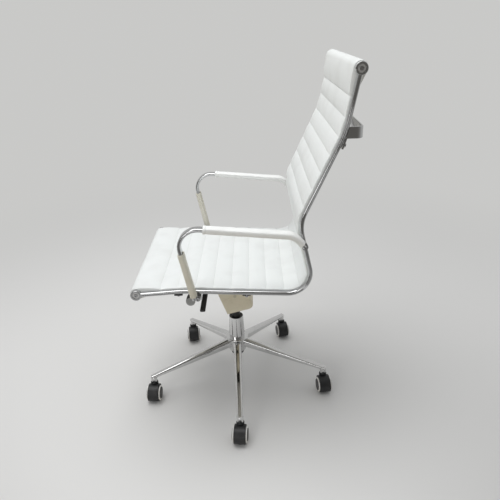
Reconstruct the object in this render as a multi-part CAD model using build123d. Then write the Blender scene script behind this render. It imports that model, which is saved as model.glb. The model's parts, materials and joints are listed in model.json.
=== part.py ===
"""High-back swivel office chair: ribbed sling on chrome side rails, tilt box, gas lift, five-arm base.

Units are millimetres. +Z is up, the sitter faces -Y and +X is the sitter's left. The origin is on the swivel
axis at floor level. Points of side-view outlines are written (y, z).
"""
from build123d import *
import math
import os

# General fits
RUNNING = 0.06              # radial clearance of a turning fit
HOLE_CLEARANCE = 0.2        # radial clearance of a bolt hole
SOFT_GAP = 0.3              # gap between a soft piece and what carries it
CUT_OVER = 1.0              # how far a cutting tool runs past the face it opens
FULL_TURN = 360.0
PILLOW = 0.48               # corner radius of a soft or flat strap, as a share of its thickness

# Castors
WHEEL_RADIUS = 27.0
WHEEL_INNER = 7.5           # from the castor's middle to the wheel's inner face
TREAD_OUTER = 18.3          # from the castor's middle to the end of the tread
RING_OUTER = 22.2           # from the castor's middle to the white ring's outer face
WHEEL_OUTER = 24.0          # from the castor's middle to the wheel's domed face
RING_RADIUS = 24.5
DOME_RADIUS = 19.5
WHEEL_AXLE_RADIUS = 3.0
CASTOR_TRAIL = 16.0
HOOD_GAP = 1.2              # between the tread and the hood
HOOD_WALL = 2.3
HOOD_HALF_WIDTH = 17.5
HOOD_WEB_HALF = 6.5
HOOD_FROM, HOOD_TO = -25.0, 205.0    # degrees round the axle, from the trailing side over the top
NECK_RADIUS = 12.5
NECK_RISE = 5.0             # neck top above the hood's crown
STEM_RADIUS = 5.5
STEM_COLLAR_RADIUS = 8.0
STEM_COLLAR_HEIGHT = 3.0
STEM_IN_NECK = 20.0
STEM_IN_SOCKET = 14.0
WEB_BELOW_TREAD = 3.0       # the hood's web stays this far inside the tread
NECK_ROUND = 1.5
TREAD_ROUND = 1.8
DOME_ROUND = 1.4
RING_ROUND = 1.2
AXLE_PAST_TREAD = 2.0       # depth of the axle's bore past the end of the tread
WEDGE_STEPS = 8
CASTOR_HEADINGS = [-5.0, 8.0, 11.0, 8.0, -3.0]   # degrees, the way each wheel trails

# Five-arm base
ARM_COUNT = 5
BASE_RADIUS = 303.0         # swivel axis to castor stem
BASE_TURN = 2.2             # degrees, first arm from +X
HUB_WALL = 7.5
HUB_BOTTOM, HUB_TOP = 118.0, 171.0
FLANGE_RADIUS, FLANGE_THICK = 39.0, 7.0
FLANGE_ROUND = 3.2
ARM_ROOT_WIDTH, ARM_ROOT_HEIGHT = 29.5, 35.0
ARM_TIP_WIDTH, ARM_TIP_HEIGHT = 16.0, 11.0
ARM_WALL = 2.5
SOCKET_RADIUS = 10.0
SOCKET_DROP = 10.0          # socket below the arm's underside at the tip
ARM_PAST_STEM = 8.5
ARM_BELOW_HUB_TOP = 4.0
ARM_ROUND = 0.42            # corner radius of an arm, as a share of its lesser side
SOCKET_ROUND = 1.5
SOCKET_BELOW_ARM_TOP = 4.0

# Gas lift
TUBE_RADIUS = 22.5
TUBE_WALL = 2.0
TUBE_TAPER = 0.7            # how much the tube narrows through the hub
TUBE_BELOW_HUB = 14.0
TUBE_TOP = 245.0
TUBE_FLOOR = 4.0
LIFT_RADIUS = 14.0          # pressure cylinder
LIFT_WALL = 2.0
LIFT_TRAVEL = 85.0
LIFT_TAPER = 0.5
BUSH_LENGTH = 80.0
BUSH_LIP = 3.0
ROD_RADIUS = 5.0
PISTON_HEIGHT = 12.0
BEARING_RADIUS = 13.0
BEARING_HEIGHT = 7.0
CLIP_RADIUS = 9.0
CLIP_THICK = 1.6
COVER_WALL = 1.2
COVER_FLARE = 2.4           # how much wider the cover's foot is than its top
COVER_ABOVE_TUBE = 6.0
PIN_RADIUS = 4.0
PIN_TRAVEL = 5.0
CYLINDER_ABOVE_BEARING = 3.0
CYLINDER_FOOT_WALL = 8.0
CYLINDER_HEAD = 24.0        # solid head above the gas chamber
PISTON_SPARE = 10.0         # chamber left below the piston at full height
ROD_BELOW_TUBE = 5.0
CLIP_GROOVE = 1.0
PIN_IN_CYLINDER = 12.0
PIN_STAND = 4.0             # lever above the cylinder when the pin is fully down

# Tilt box
PIVOT = (-127.0, 404.0)
TILT_LIMIT = 12.0           # degrees, kept clear above the tilt box
BOX_HALF_WIDTH = 40.0
BOX_WALL = 3.0
BARREL_RADIUS = 19.0
TORSION_RADIUS = 15.5
SHAFT_RADIUS = 8.0
SOCKET_TOP = 372.0          # top of the gas lift's cylinder in the tilt box
SOCKET_WALL = 7.0
SOCKET_DEPTH = 55.0         # tapered seat of the gas lift in the tilt box
BOX_FRONT, BOX_REAR = -110.0, 44.0
BOX_FOOT_FRONT, BOX_FOOT_REAR = -26.0, 30.0
BOX_KNEE = -61.0            # where the underside turns down to the foot
BOX_FOOT_RISE = 26.0        # slope at the foot's rear
BOX_BELOW_SOCKET = 1.0
BOX_UNDER_BARREL = 2.0
TILT_SPARE = 1.0            # air left over the tilt box at full tilt
BOX_REAR_SPARE, BOX_FRONT_SPARE = 6.0, 2.0
BOSS_RADIUS = 7.0
SHAFT_PAST_EAR = 3.0
EAR_FRONT, EAR_REAR, EAR_NECK = 34.0, 40.0, 15.0
EAR_SINK = 1.0              # ear into the plate
EAR_FOOT = 6.0
PLATE_PAST_SPREADER = 20.0
PLATE_ROUND = 10.0
PLATE_TOP, PLATE_THICK = 446.0, 4.0
PLATE_HALF_WIDTH = 75.0
EAR_THICK = 4.0
SHROUD_HALF_WIDTH = 56.0
SHROUD_WALL = 2.5
SHROUD_OUTLINE = [(-24.0, 287.0), (63.5, 310.0), (47.0, 372.0), (-68.0, 412.0)]
SHROUD_REAR_ROUND, SHROUD_SIDE_ROUND = 17.0, 8.0
SHROUD_SCREW_AT = (2.0, 358.0)
SHROUD_SCREW_RADIUS, SHROUD_SCREW_LENGTH, SHROUD_SCREW_HEAD = 2.5, 12.0, 2.5
SHROUD_TOP_CUT = 8.0        # open top below the outline's upper edge
SHROUD_LID_REACH, SHROUD_LID_RISE = 30.0, 40.0
SHROUD_FRONT_REACH, SHROUD_FRONT_RISE = 20.0, 30.0
SHROUD_FRONT_SILL = 28.0    # front opening above the outline's lowest point
SHROUD_FRONT_IN = 4.0
SHROUD_BOX_GAP = 1.0
SHROUD_LIFT_GAP = 5.0
SHROUD_HOLE_TOP = 60.0      # below the gas lift's top
SHROUD_HOLE_FOOT = 20.0
RIB_FIRST, RIB_STEP, RIB_WIDTH, RIB_LENGTH = 16.0, 9.0, 1.2, 260.0
RIB_BACK, RIB_AHEAD = 60.0, 100.0
RIB_COUNT = 6
RIB_DEPTH = 0.7
KNOB_RADIUS = 14.0
KNOB_FROM, KNOB_TO = 131.0, 158.0
KNOB_CAP = 3.0
SPINDLE_RADIUS = 5.0
SPINDLE_IN_SHAFT = 24.0
KNOB_ROUND = 3.0
KNOB_CAP_INSET, KNOB_CAP_ROUND = 0.4, 1.0
FLUTES, FLUTE_RADIUS, FLUTE_OUT = 12, 2.2, 1.2
LEVER_RADIUS = 4.0
LEVER_PIVOT = (47.0, 404.0)     # (x, z)
LEVER_Y = -86.0
PADDLE_FROM, PADDLE_TO = 100.0, 214.0
PADDLE_WIDTH, PADDLE_THICK = 16.0, 9.0
PADDLE_ROUND, PADDLE_END_ROUND = 4.0, 3.0
PADDLE_SOLID_END = 40.0     # paddle past the lever's end
LEVER_BEND = 12.0
LEVER_STRAIGHT = 10.0       # straight run inside the pivot
LEVER_SHORT = 4.0
LEVER_PIN_RADIUS, LEVER_PIN_HALF = 1.6, 15.0
LEVER_PIN_BORE_HALF = 20.0
LEVER_SLOT_LENGTH, LEVER_SLOT_HEIGHT, LEVER_SLOT_BELOW, LEVER_SLOT_SHIFT = 44.0, 60.0, 8.0, 8.0
BRACKET_AWAY = 12.0         # each bracket's middle from the lever's
BRACKET_PAST_PIN, BRACKET_IN_WALL = 5.0, 2.0
BRACKET_THICK, BRACKET_HEIGHT, BRACKET_DROP = 4.0, 20.0, 6.0

# Side rails, in side view from the front knuckle to the top knuckle
RAIL_SPACING = 464.0        # between the rails' centre planes
RAIL_POINTS = [
    (-268.0, 474.0), (-130.0, 482.0), (240.0, 461.0), (193.0, 676.0), (303.0, 913.0), (332.0, 1060.0)]
RAIL_BENDS = [600.0, 62.0, 100.0, 300.0]
RAIL_WIDTH, RAIL_DEPTH = 12.0, 12.0
RAIL_ROUND = 4.5
GROOVE_WIDTH, GROOVE_DEPTH = 3.0, 1.2
EYE_RADIUS = 15.5
CROSS_TUBE_RADIUS = 10.0
CROSS_TUBE_WALL = 2.0
EYE_RECESS = 2.0            # plug below the eye's outer face
PLUG_LENGTH = 8.0
PLUG_FLANGE, PLUG_FLANGE_INSET, PLUG_SCREW_SEAT = 3.0, 0.3, 2.0
PLUG_SCREW_HEAD = 3.0
EYE_ROUND = 1.5
RAIL_FLAT = 2.0             # rail width less the width of what bolts flat against it
SEARCH_STEP = 0.1

# Ribbed sling
RIB_PITCH_COUNT = 19
FIRST_SEAM = 68.0           # along the rail from the front knuckle
LAST_SEAM = 66.0            # along the rail from the top knuckle
SEAM_FRONT, SEAM_BACK = 9.5, 0.5        # seam faces before and behind the rail's centre line
CROWN_FRONT, CROWN_BACK = 3.4, 2.4      # how far a rib swells past its seams
PANEL_CROWN = 2.0
ROLL_RADIUS = 18.5
EDGE_TAPER = 16.0           # width over which the ribs are drawn in at each side
EDGE_SHARE = 0.35           # share of the swell left at the edge
EDGE_THICK = 0.95           # share of the thickness left at the edge
ROLL_SHARE = 0.5            # share of the roll that follows the thickness
PANEL_BLEND = 0.5

# Spreaders
SEAT_SPREADER_AT = [-147.0, 45.0]
REAR_SPREADER_REACH = 2.0   # end of the rear bar past the rail's centre plane
SPREADER_WIDTH, SPREADER_THICK = 24.0, 4.5
SPREADER_SADDLE = 1.2       # how far the ends close up round the rail
SPREADER_FOOT = 30.0        # flat length inside each rail
SPREADER_RAMP = 34.0
SPREADER_BEND, SPREADER_ROUND = 10.0, 1.5
PLATE_BOLT_X = 60.0
BACK_BAR_AT = 912.0
BACK_BAR_HEIGHT, BACK_BAR_THICK = 30.0, 5.0
BACK_BAR_STANDOFF = 45.0    # rail centre to bar centre
BACK_BAR_BEND = 16.0
BACK_FOOT_LENGTH, BACK_FOOT_THICK = 54.0, 4.0
BACK_BAR_ROUND = 2.0
BACK_FOOT_SINK = 0.2        # foot into the rail before it is trimmed to it

# Armrests
ARM_STRAP_WIDTH, ARM_STRAP_THICK = 25.0, 10.5
ARM_STANDOFF = 24.0         # rail centre plane to arm centre plane
ARM_POINTS = [(-100.0, 470.5), (-139.9, 685.5), (177.0, 653.0), (204.0, 620.0)]
ARM_BENDS = [51.0, 45.0]
ARM_LOW_BOLT = (-92.0, 465.0)
ARM_REAR_BOLT = (206.5, 614.0)
ARM_LOW_TAB = 20.0          # length along the rail of the tab that takes the lower bolt
LUG_WIDTH, LUG_THICK = 17.0, 10.0
SLEEVE_WIDTH, SLEEVE_THICK = 31.0, 19.5
CHROME_BEFORE_BEND, CHROME_AFTER_BEND = 76.0, 78.0   # bare strap each side of the front corner

# Bolts
M8_RADIUS, M8_HEAD_RADIUS, M8_HEAD = 4.0, 6.0, 4.5
ARM_BOLT_HEAD_RADIUS, ARM_BOLT_HEAD = 6.0, 4.5
M6_RADIUS, M6_HEAD_RADIUS, M6_HEAD = 3.0, 5.0, 3.0
BOLT_IN_RAIL = 8.0

# Sizes that follow from the ones above
RAIL_X = RAIL_SPACING / 2
RAIL_INNER = RAIL_X - RAIL_WIDTH / 2
RAIL_OUTER = RAIL_X + RAIL_WIDTH / 2
ARM_X = RAIL_X + ARM_STANDOFF
SPREADER_REACH = [RAIL_WIDTH / 2, REAR_SPREADER_REACH]
SLEEVE_FROM_END = LUG_WIDTH / 2 + SOFT_GAP
HOOD_RADIUS = WHEEL_RADIUS + HOOD_GAP + HOOD_WALL
NECK_TOP = WHEEL_RADIUS + HOOD_RADIUS + NECK_RISE
SOCKET_BOTTOM = NECK_TOP + SOFT_GAP + STEM_COLLAR_HEIGHT
ARM_TIP_TOP = SOCKET_BOTTOM + SOCKET_DROP + ARM_TIP_HEIGHT
HUB_RADIUS = TUBE_RADIUS + HUB_WALL
COVER_TOP_RADIUS = TUBE_RADIUS + SOFT_GAP + COVER_WALL
COVER_FOOT_RADIUS = COVER_TOP_RADIUS + COVER_FLARE
ARM_ROOT_AT, ARM_TIP_AT = HUB_RADIUS / 2, BASE_RADIUS + ARM_PAST_STEM
ARM_ROOT_TOP = HUB_TOP - ARM_BELOW_HUB_TOP
TUBE_BOTTOM = HUB_BOTTOM - TUBE_BELOW_HUB
SPREADER_MID = PLATE_TOP + SPREADER_THICK / 2
LEVER_PRESS = SOCKET_TOP + PIN_TRAVEL + LEVER_RADIUS + PIN_STAND

nodes = {}


def along_x(radius, x_from, x_to, at=(0.0, 0.0)):
    """Round bar parallel to X through the side-view point at."""
    middle = Location(((x_from + x_to) / 2, at[0], at[1]), (0, 90, 0))
    return middle * Cylinder(radius, x_to - x_from)


def upright(radius, z_from, z_to, at=(0.0, 0.0), top_radius=None):
    """Round bar or cone parallel to Z through the plan point at."""
    place = Location((at[0], at[1], (z_from + z_to) / 2))
    if top_radius is None:
        return place * Cylinder(radius, z_to - z_from)
    return place * Cone(radius, top_radius, z_to - z_from)


def side_path(points, bends, x=0.0):
    """Straight runs joined by tangent arcs in the side-view plane at x."""
    return FilletPolyline(*[(x, y, z) for y, z in points], radius=bends)


def swept(section, path):
    """Section, whose own X lies along the chair's X, carried along a side-view path."""
    start = Plane(origin=path @ 0, x_dir=(1, 0, 0), z_dir=path % 0)
    return sweep(start * section, path=path)


def bolt(seat, direction, radius, length, head_radius, head):
    """Bolt whose head rests on seat and whose shank runs along direction."""
    place = Plane(origin=seat, z_dir=direction)
    shank = place * Pos(0, 0, length / 2) * Cylinder(radius, length)
    cap = place * Pos(0, 0, -head / 2) * Cylinder(head_radius, head)
    socket_depth = head / 2
    socket = place * Pos(0, 0, socket_depth / 2 - head) * extrude(
        RegularPolygon(head_radius / 2, 6), socket_depth / 2, both=True)
    return shank + cap - socket


def bolt_hole(seat, direction, radius, length):
    """Clearance hole for the shank of a bolt."""
    place = Plane(origin=seat, z_dir=direction)
    return place * Pos(0, 0, length / 2) * Cylinder(radius + HOLE_CLEARANCE, length)


def mirrored(shape):
    return mirror(shape, about=Plane.YZ)


def both_sides(shape):
    return [shape, mirrored(shape)]


RAIL_PATH = side_path(RAIL_POINTS, RAIL_BENDS)


def rail_point(distance):
    """Point, tangent and sitter-side normal of the rail's centre line, a distance along it."""
    point = RAIL_PATH.position_at(distance, position_mode=PositionMode.LENGTH)
    tangent = RAIL_PATH.tangent_at(distance, position_mode=PositionMode.LENGTH)
    return point, tangent, Vector(0, -tangent.Z, tangent.Y)


def rail_distance(reached):
    """Distance along the rail where reached(point) first holds, to a tenth of a millimetre."""
    low, high = 0.0, RAIL_PATH.length
    while high - low > SEARCH_STEP:
        middle = (low + high) / 2
        if reached(rail_point(middle)[0]):
            high = middle
        else:
            low = middle
    return high


def rail_height(y):
    """Height of the rail's centre line under the seat, at y."""
    return rail_point(rail_distance(lambda point: point.Y >= y or point.Z > RAIL_POINTS[3][1]))[0].Z


# Castors

def castor_plane(index):
    """Plane at floor level under a castor's stem, its X along the way the wheel trails."""
    angle = math.radians(BASE_TURN + index * FULL_TURN / ARM_COUNT)
    heading = math.radians(CASTOR_HEADINGS[index])
    return Plane(
        origin=(BASE_RADIUS * math.cos(angle), BASE_RADIUS * math.sin(angle), 0),
        x_dir=(math.cos(heading), math.sin(heading), 0),
        z_dir=(0, 0, 1),
    )


def axle_bar(radius, y_from, y_to):
    """Round bar on a castor's axle line, in the castor's own frame."""
    place = Location((CASTOR_TRAIL, (y_from + y_to) / 2, WHEEL_RADIUS), (90, 0, 0))
    return place * Cylinder(radius, y_to - y_from)


def castor_hood():
    crown = WHEEL_RADIUS + HOOD_GAP
    wedge_reach = 3 * HOOD_RADIUS
    wedge_points = [(0.0, 0.0)]
    for step in range(WEDGE_STEPS + 1):
        angle = math.radians(HOOD_FROM + (HOOD_TO - HOOD_FROM) * step / WEDGE_STEPS)
        wedge_points.append((wedge_reach * math.cos(angle), wedge_reach * math.sin(angle)))
    axle_plane = Plane(origin=(CASTOR_TRAIL, 0, WHEEL_RADIUS), x_dir=(1, 0, 0), z_dir=(0, -1, 0))
    wedge = extrude(axle_plane * make_face(Polyline(*wedge_points, close=True)), HOOD_HALF_WIDTH, both=True)
    shell = axle_bar(HOOD_RADIUS, -HOOD_HALF_WIDTH, HOOD_HALF_WIDTH) & wedge
    neck = upright(NECK_RADIUS, WHEEL_RADIUS, NECK_TOP)
    web_radius = WHEEL_RADIUS - WEB_BELOW_TREAD
    web = axle_bar(web_radius, -HOOD_WEB_HALF, HOOD_WEB_HALF)
    web_top = axle_bar(crown + HOOD_WALL / 2, -HOOD_WEB_HALF, HOOD_WEB_HALF) & wedge
    hood = shell + neck
    for side in (-1, 1):
        room_from, room_to = sorted((side * HOOD_WEB_HALF, side * 2 * WHEEL_OUTER))
        hood -= axle_bar(crown, room_from, room_to)
    hood = hood + web_top + web
    hood -= axle_bar(WHEEL_AXLE_RADIUS + RUNNING, -WHEEL_OUTER, WHEEL_OUTER)
    stem_foot = NECK_TOP - STEM_IN_NECK - SOFT_GAP
    hood -= upright(STEM_RADIUS + RUNNING, stem_foot, NECK_TOP + CUT_OVER)
    edges = hood.edges().filter_by(GeomType.CIRCLE).filter_by(
        lambda edge: abs(edge.radius - NECK_RADIUS) < RUNNING and edge.center().Z > NECK_TOP - RUNNING)
    return fillet(edges, NECK_ROUND)


def castor_wheels():
    """Two wheels: tread, stepped seat for the ring and a domed face, pressed on one axle."""
    wheels = []
    for side in (-1, 1):
        tread = axle_bar(WHEEL_RADIUS, *sorted((side * WHEEL_INNER, side * TREAD_OUTER)))
        tread = fillet(tread.edges().filter_by(GeomType.CIRCLE), TREAD_ROUND)
        dome = axle_bar(DOME_RADIUS, *sorted((side * (TREAD_OUTER - CUT_OVER), side * WHEEL_OUTER)))
        rim = dome.edges().filter_by(GeomType.CIRCLE).sort_by(Axis.Y)[-1 if side > 0 else 0]
        dome = fillet(rim, DOME_ROUND)
        wheel = tread + dome
        bore_end = side * (TREAD_OUTER + AXLE_PAST_TREAD)
        wheel -= axle_bar(WHEEL_AXLE_RADIUS, *sorted((side * WHEEL_INNER, bore_end)))
        wheels.append(wheel)
    return wheels


def castor_rings():
    rings = []
    for side in (-1, 1):
        ends = sorted((side * TREAD_OUTER, side * RING_OUTER))
        band = fillet(axle_bar(RING_RADIUS, *ends).edges().filter_by(GeomType.CIRCLE), RING_ROUND)
        rings.append(band - axle_bar(DOME_RADIUS + RUNNING, *ends))
    return rings


def castor_stem():
    foot = NECK_TOP - STEM_IN_NECK
    stem = upright(STEM_RADIUS, foot, SOCKET_BOTTOM + STEM_IN_SOCKET)
    collar = upright(STEM_COLLAR_RADIUS, SOCKET_BOTTOM - STEM_COLLAR_HEIGHT, SOCKET_BOTTOM)
    return stem + collar


def make_castors():
    hood, wheels, rings, stem = castor_hood(), castor_wheels(), castor_rings(), castor_stem()
    axle_end = TREAD_OUTER + AXLE_PAST_TREAD - SOFT_GAP
    axle = axle_bar(WHEEL_AXLE_RADIUS, -axle_end, axle_end)
    stems = []
    for index in range(ARM_COUNT):
        plane = castor_plane(index)
        name = f"castor_{index + 1}"
        nodes[f"{name}_hood"] = [plane * hood]
        nodes[f"{name}_axle"] = [plane * axle]
        nodes[f"{name}_wheels"] = [plane * wheel for wheel in wheels]
        nodes[f"{name}_rings"] = [plane * ring for ring in rings]
        stems.append(plane * stem)
    nodes["castor_stems"] = stems


# Five-arm base

def arm_section(reach, inset):
    """Section of a base arm at a distance from the swivel axis, its walls drawn in by inset."""
    share = (reach - ARM_ROOT_AT) / (ARM_TIP_AT - ARM_ROOT_AT)
    width = ARM_ROOT_WIDTH + share * (ARM_TIP_WIDTH - ARM_ROOT_WIDTH)
    height = ARM_ROOT_HEIGHT + share * (ARM_TIP_HEIGHT - ARM_ROOT_HEIGHT)
    top = ARM_ROOT_TOP + share * (ARM_TIP_TOP - ARM_ROOT_TOP)
    across, tall = width - 2 * inset, height - 2 * inset
    plane = Plane(origin=(reach, 0, top - height / 2), x_dir=(0, 1, 0), z_dir=(1, 0, 0))
    return plane * RectangleRounded(across, tall, ARM_ROUND * min(across, tall))


def arm_tube(inset, root, tip):
    """Tapered tube of one base arm along +X, its walls drawn in by inset."""
    return loft([arm_section(root, inset), arm_section(tip, inset)], ruled=True)


def make_base():
    flange = upright(FLANGE_RADIUS, HUB_TOP - FLANGE_THICK, HUB_TOP)
    flange = fillet(flange.edges().filter_by(GeomType.CIRCLE), FLANGE_ROUND)
    star = upright(HUB_RADIUS, HUB_BOTTOM, HUB_TOP) + flange
    arm = arm_tube(0, ARM_ROOT_AT, ARM_TIP_AT)
    arm -= arm_tube(ARM_WALL, HUB_RADIUS + ARM_WALL, BASE_RADIUS - SOCKET_RADIUS - ARM_WALL)
    socket = upright(SOCKET_RADIUS, SOCKET_BOTTOM, ARM_TIP_TOP - SOCKET_BELOW_ARM_TOP, at=(BASE_RADIUS, 0))
    socket = fillet(socket.edges().filter_by(GeomType.CIRCLE).sort_by(Axis.Z)[-1], SOCKET_ROUND)
    for index in range(ARM_COUNT):
        star += Rot(0, 0, BASE_TURN + index * FULL_TURN / ARM_COUNT) * (arm + socket)
    star -= upright(TUBE_RADIUS - TUBE_TAPER, HUB_BOTTOM, HUB_TOP, top_radius=TUBE_RADIUS)
    for index in range(ARM_COUNT):
        origin = castor_plane(index).origin
        bore_top = SOCKET_BOTTOM + STEM_IN_SOCKET
        star -= upright(STEM_RADIUS, SOCKET_BOTTOM, bore_top, at=(origin.X, origin.Y))
    nodes["base_star"] = [star]


# Gas lift

def make_lift():
    tube = upright(TUBE_RADIUS - TUBE_TAPER, HUB_BOTTOM, HUB_TOP, top_radius=TUBE_RADIUS)
    tube += upright(TUBE_RADIUS - TUBE_TAPER, TUBE_BOTTOM, HUB_BOTTOM)
    tube += upright(TUBE_RADIUS, HUB_TOP, TUBE_TOP)
    bore = TUBE_RADIUS - TUBE_TAPER - TUBE_WALL
    floor_top = TUBE_BOTTOM + TUBE_FLOOR
    tube -= upright(bore, floor_top, TUBE_TOP)
    tube -= upright(ROD_RADIUS + RUNNING, TUBE_BOTTOM, floor_top)
    nodes["lift_outer_tube"] = [tube]

    bush = upright(bore, TUBE_TOP - BUSH_LENGTH, TUBE_TOP)
    bush += upright(TUBE_RADIUS, TUBE_TOP, TUBE_TOP + BUSH_LIP)
    bush -= upright(LIFT_RADIUS + RUNNING, TUBE_TOP - BUSH_LENGTH, TUBE_TOP + BUSH_LIP)
    nodes["lift_guide_bush"] = [bush]

    bearing_top = floor_top + BEARING_HEIGHT
    bearing = upright(BEARING_RADIUS, floor_top, bearing_top)
    bearing -= upright(ROD_RADIUS + RUNNING, floor_top, bearing_top)
    groove_at = Location((0, 0, (floor_top + bearing_top) / 2))
    bearing -= groove_at * Torus(BEARING_RADIUS, BEARING_HEIGHT / 4)
    nodes["lift_thrust_bearing"] = [bearing]

    cylinder_foot = bearing_top + CYLINDER_ABOVE_BEARING
    chamber_low, chamber_high = cylinder_foot + CYLINDER_FOOT_WALL, SOCKET_TOP - CYLINDER_HEAD
    piston_at = chamber_low + LIFT_TRAVEL + PISTON_SPARE
    rod = upright(ROD_RADIUS, TUBE_BOTTOM - ROD_BELOW_TUBE, piston_at)
    rod += upright(LIFT_RADIUS - LIFT_WALL - RUNNING, piston_at, piston_at + PISTON_HEIGHT)
    clip_at = TUBE_BOTTOM - CLIP_THICK - SOFT_GAP
    rod -= upright(ROD_RADIUS + CLIP_GROOVE, clip_at, clip_at + CLIP_THICK) - upright(
        ROD_RADIUS - CLIP_GROOVE, clip_at, clip_at + CLIP_THICK)
    nodes["lift_piston_rod"] = [rod]
    clip = upright(CLIP_RADIUS, clip_at, clip_at + CLIP_THICK)
    clip -= upright(ROD_RADIUS - CLIP_GROOVE, clip_at, clip_at + CLIP_THICK)
    nodes["lift_retaining_clip"] = [clip]

    taper_foot = SOCKET_TOP - SOCKET_DEPTH
    cylinder = upright(LIFT_RADIUS, cylinder_foot, taper_foot)
    cylinder += upright(LIFT_RADIUS, taper_foot, SOCKET_TOP, top_radius=LIFT_RADIUS - LIFT_TAPER)
    cylinder -= upright(LIFT_RADIUS - LIFT_WALL, chamber_low, chamber_high)
    cylinder -= upright(ROD_RADIUS + RUNNING, cylinder_foot, chamber_low)
    pin_foot = SOCKET_TOP - PIN_IN_CYLINDER
    cylinder -= upright(PIN_RADIUS + RUNNING, pin_foot - PIN_TRAVEL - CUT_OVER, SOCKET_TOP)
    nodes["lift_cylinder"] = [cylinder]

    pin = upright(PIN_RADIUS, pin_foot, LEVER_PRESS - LEVER_RADIUS - SOFT_GAP)
    nodes["lift_release_pin"] = [pin]

    top = TUBE_TOP + COVER_ABOVE_TUBE
    cover = upright(COVER_FOOT_RADIUS, HUB_TOP, top, top_radius=COVER_TOP_RADIUS)
    cover -= upright(COVER_FOOT_RADIUS - COVER_WALL, HUB_TOP, top, top_radius=COVER_TOP_RADIUS - COVER_WALL)
    nodes["lift_cover"] = [cover]


# Tilt box under the seat

def outline(points):
    """Face in the side-view plane through the given points."""
    return make_face(Polyline(*[(0, y, z) for y, z in points], close=True))


def plate_clearance(y):
    """Greatest height under the seat plate's bolts that stays free when the seat tilts back."""
    tilt = math.radians(TILT_LIMIT)
    drop = PLATE_TOP - PLATE_THICK - M8_HEAD - PIVOT[1]
    reach = y - PIVOT[0]
    return PIVOT[1] + drop * math.cos(tilt) - reach * math.sin(tilt) - TILT_SPARE


def box_profile(inset):
    """Side outline of the tilt box, its walls drawn in by inset."""
    rear, front = BOX_REAR - inset, BOX_FRONT
    foot = SOCKET_TOP - SOCKET_DEPTH - BOX_BELOW_SOCKET + inset
    underside = PIVOT[1] - BARREL_RADIUS + BOX_UNDER_BARREL + inset
    return [
        (front, underside),
        (BOX_KNEE + inset, underside),
        (BOX_FOOT_FRONT + inset, foot),
        (BOX_FOOT_REAR - inset, foot),
        (rear, foot + BOX_FOOT_RISE),
        (rear, plate_clearance(rear) - BOX_REAR_SPARE),
        (front, plate_clearance(front) - BOX_FRONT_SPARE),
    ]


def make_tilt_box():
    half = BOX_HALF_WIDTH
    box = extrude(outline(box_profile(0)), half, both=True)
    room = extrude(outline(box_profile(BOX_WALL)), half - BOX_WALL, both=True)
    lid_room = Pos(0, 0, 2 * BOX_WALL) * room
    socket_foot = SOCKET_TOP - SOCKET_DEPTH - 2 * BOX_BELOW_SOCKET
    socket = upright(LIFT_RADIUS + SOCKET_WALL, socket_foot, SOCKET_TOP)
    box = box - room - lid_room + (socket & extrude(outline(box_profile(0)), half, both=True))
    box += along_x(BARREL_RADIUS, -half, half, PIVOT)
    box -= along_x(TORSION_RADIUS, -half, half, PIVOT)
    boss_end = SHROUD_HALF_WIDTH - SHROUD_WALL - SOFT_GAP
    for boss in both_sides(along_x(BOSS_RADIUS, half - BOX_WALL, boss_end, SHROUD_SCREW_AT)):
        box += boss
    screw_hole = SHROUD_SCREW_RADIUS + HOLE_CLEARANCE
    for hole in both_sides(along_x(screw_hole, half, SHROUD_HALF_WIDTH, SHROUD_SCREW_AT)):
        box -= hole
    lever_slot_low = LEVER_PIVOT[1] - LEVER_RADIUS - LEVER_SLOT_BELOW
    stand = (Align.CENTER, Align.CENTER, Align.MIN)
    slot = Box(4 * BOX_WALL, LEVER_SLOT_LENGTH, LEVER_SLOT_HEIGHT, align=stand)
    box -= Pos(half, LEVER_Y + LEVER_SLOT_SHIFT, lever_slot_low) * slot
    pin_x, pin_z = LEVER_PIVOT
    bracket_from, bracket_to = half - BRACKET_IN_WALL, pin_x + BRACKET_PAST_PIN
    bracket = Box(bracket_to - bracket_from, BRACKET_THICK, BRACKET_HEIGHT)
    for y in (LEVER_Y - BRACKET_AWAY, LEVER_Y + BRACKET_AWAY):
        box += Pos((bracket_from + bracket_to) / 2, y, pin_z - BRACKET_DROP) * bracket
    box -= lever_pin(HOLE_CLEARANCE / 2, LEVER_PIN_BORE_HALF)
    taper_foot = SOCKET_TOP - SOCKET_DEPTH
    box -= upright(LIFT_RADIUS, taper_foot - LIFT_RADIUS, taper_foot)
    box -= upright(LIFT_RADIUS, taper_foot, SOCKET_TOP, top_radius=LIFT_RADIUS - LIFT_TAPER)
    nodes["tilt_box"] = [box]

    shaft_end = half + EAR_THICK + SHAFT_PAST_EAR
    shaft = along_x(SHAFT_RADIUS, -shaft_end, shaft_end, PIVOT)
    shaft -= along_x(SPINDLE_RADIUS + RUNNING, shaft_end - SPINDLE_IN_SHAFT, shaft_end, PIVOT)
    nodes["tilt_pivot_shaft"] = [shaft]
    sleeve = along_x(TORSION_RADIUS, -half + CUT_OVER, half - CUT_OVER, PIVOT)
    sleeve -= along_x(SHAFT_RADIUS, -half, half, PIVOT)
    nodes["tilt_torsion_sleeve"] = [sleeve]


def lever_pin(extra=0.0, half_length=LEVER_PIN_HALF):
    """Pivot pin of the lever, parallel to Y."""
    place = Location((LEVER_PIVOT[0], LEVER_Y, LEVER_PIVOT[1]), (90, 0, 0))
    return place * Cylinder(LEVER_PIN_RADIUS + extra, 2 * half_length)


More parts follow.
